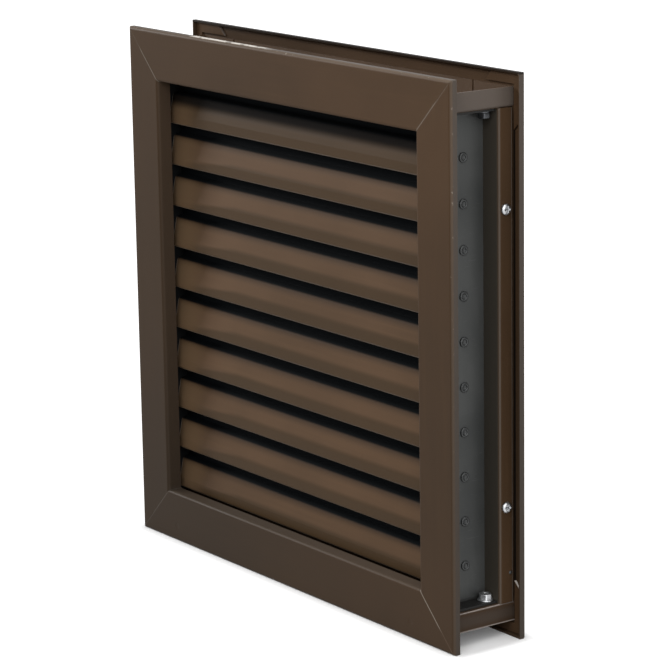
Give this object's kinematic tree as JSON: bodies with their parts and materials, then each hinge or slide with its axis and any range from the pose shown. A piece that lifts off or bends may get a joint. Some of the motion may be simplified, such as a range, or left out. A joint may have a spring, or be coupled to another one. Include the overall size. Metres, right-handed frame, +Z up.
{
  "type": "fusible link louver",
  "caption": "Square door louver: two mitred steel frames clamp a door; fixed front blades and pivoting rear flaps on a tie bar held open by a solder link.",
  "frame": {"origin": "on the floor line, in the middle of the width and of the depth", "axes": "+X to the right of someone facing the front, +Y from the front face to the rear face, +Z up"},
  "size_m": [0.33, 0.053, 0.33],
  "materials": {
    "brown_paint": "satin paint",
    "plate_steel": "dull grey sheet",
    "zinc": "bright zinc plate",
    "spring_steel": "drawn wire",
    "link_alloy": "rolled strip"
  },
  "bodies": {
    "frame": {"closing_spring": "spring_steel", "foot_screws": "zinc", "front_blade_01": "brown_paint", "front_blade_02": "brown_paint", "front_blade_03": "brown_paint", "front_blade_04": "brown_paint", "front_blade_05": "brown_paint", "front_blade_06": "brown_paint", "front_blade_07": "brown_paint", "front_blade_08": "brown_paint", "front_blade_09": "brown_paint", "front_blade_10": "brown_paint", "front_bottom_rail": "brown_paint", "front_left_angle": "brown_paint", "front_left_stile": "brown_paint", "front_right_angle": "brown_paint", "front_right_stile": "brown_paint", "front_top_rail": "brown_paint", "head_pan": "brown_paint", "head_stop": "brown_paint", "left_pivot_plate": "plate_steel", "left_pivot_rivets": "plate_steel", "link_hanger": "zinc", "link_upper_half": "link_alloy", "rear_bottom_rail": "brown_paint", "rear_left_angle": "brown_paint", "rear_left_stile": "brown_paint", "rear_right_angle": "brown_paint", "rear_right_stile": "brown_paint", "rear_top_rail": "brown_paint", "right_pivot_plate": "plate_steel", "right_pivot_rivets": "plate_steel", "side_screws": "zinc", "sill_pan": "brown_paint", "sill_stop": "brown_paint"},
    "flap_01": {"flap_01": "brown_paint"},
    "flap_02": {"flap_02": "brown_paint"},
    "flap_03": {"flap_03": "brown_paint"},
    "flap_04": {"flap_04": "brown_paint"},
    "flap_05": {"flap_05": "brown_paint"},
    "flap_06": {"flap_06": "brown_paint"},
    "flap_07": {"flap_07": "brown_paint"},
    "flap_08": {"flap_08": "brown_paint"},
    "flap_09": {"flap_09": "brown_paint"},
    "flap_10": {"flap_10": "brown_paint"},
    "tie_bar": {"tie_bar": "zinc", "link_lower_half": "link_alloy"}
  },
  "joints": [
    {"name": "flap_01_hinge", "type": "hinge", "parent": "frame", "child": "flap_01", "pos_m": [0, 0, 0.04335], "axis": [-1, 0, 0], "range_deg": [0, 68]},
    {"name": "flap_02_hinge", "type": "hinge", "parent": "frame", "child": "flap_02", "pos_m": [0, 0, 0.06985], "axis": [-1, 0, 0], "range_deg": [0, 68]},
    {"name": "flap_03_hinge", "type": "hinge", "parent": "frame", "child": "flap_03", "pos_m": [0, 0, 0.09635], "axis": [-1, 0, 0], "range_deg": [0, 68]},
    {"name": "flap_04_hinge", "type": "hinge", "parent": "frame", "child": "flap_04", "pos_m": [0, 0, 0.12285], "axis": [-1, 0, 0], "range_deg": [0, 68]},
    {"name": "flap_05_hinge", "type": "hinge", "parent": "frame", "child": "flap_05", "pos_m": [0, 0, 0.14935], "axis": [-1, 0, 0], "range_deg": [0, 68], "deforming": ["closing_spring"]},
    {"name": "flap_06_hinge", "type": "hinge", "parent": "frame", "child": "flap_06", "pos_m": [0, 0, 0.17585], "axis": [-1, 0, 0], "range_deg": [0, 68]},
    {"name": "flap_07_hinge", "type": "hinge", "parent": "frame", "child": "flap_07", "pos_m": [0, 0, 0.20235], "axis": [-1, 0, 0], "range_deg": [0, 68]},
    {"name": "flap_08_hinge", "type": "hinge", "parent": "frame", "child": "flap_08", "pos_m": [0, 0, 0.22885], "axis": [-1, 0, 0], "range_deg": [0, 68]},
    {"name": "flap_09_hinge", "type": "hinge", "parent": "frame", "child": "flap_09", "pos_m": [0, 0, 0.25535], "axis": [-1, 0, 0], "range_deg": [0, 68]},
    {"name": "flap_10_hinge", "type": "hinge", "parent": "frame", "child": "flap_10", "pos_m": [0, 0, 0.28185], "axis": [-1, 0, 0], "range_deg": [0, 68]},
    {"name": "tie_bar_pin", "type": "hinge", "parent": "flap_05", "child": "tie_bar", "pos_m": [0.1, 0.01337, 0.15042], "axis": [-1, 0, 0], "range_deg": [-68, 0]}
  ],
  "couplings": [
    {"joint": "flap_01_hinge", "follows": "flap_05_hinge", "ratio": 1},
    {"joint": "flap_02_hinge", "follows": "flap_05_hinge", "ratio": 1},
    {"joint": "flap_03_hinge", "follows": "flap_05_hinge", "ratio": 1},
    {"joint": "flap_04_hinge", "follows": "flap_05_hinge", "ratio": 1},
    {"joint": "flap_06_hinge", "follows": "flap_05_hinge", "ratio": 1},
    {"joint": "flap_07_hinge", "follows": "flap_05_hinge", "ratio": 1},
    {"joint": "flap_08_hinge", "follows": "flap_05_hinge", "ratio": 1},
    {"joint": "flap_09_hinge", "follows": "flap_05_hinge", "ratio": 1},
    {"joint": "flap_10_hinge", "follows": "flap_05_hinge", "ratio": 1},
    {"joint": "tie_bar_pin", "follows": "flap_05_hinge", "ratio": -1}
  ]
}
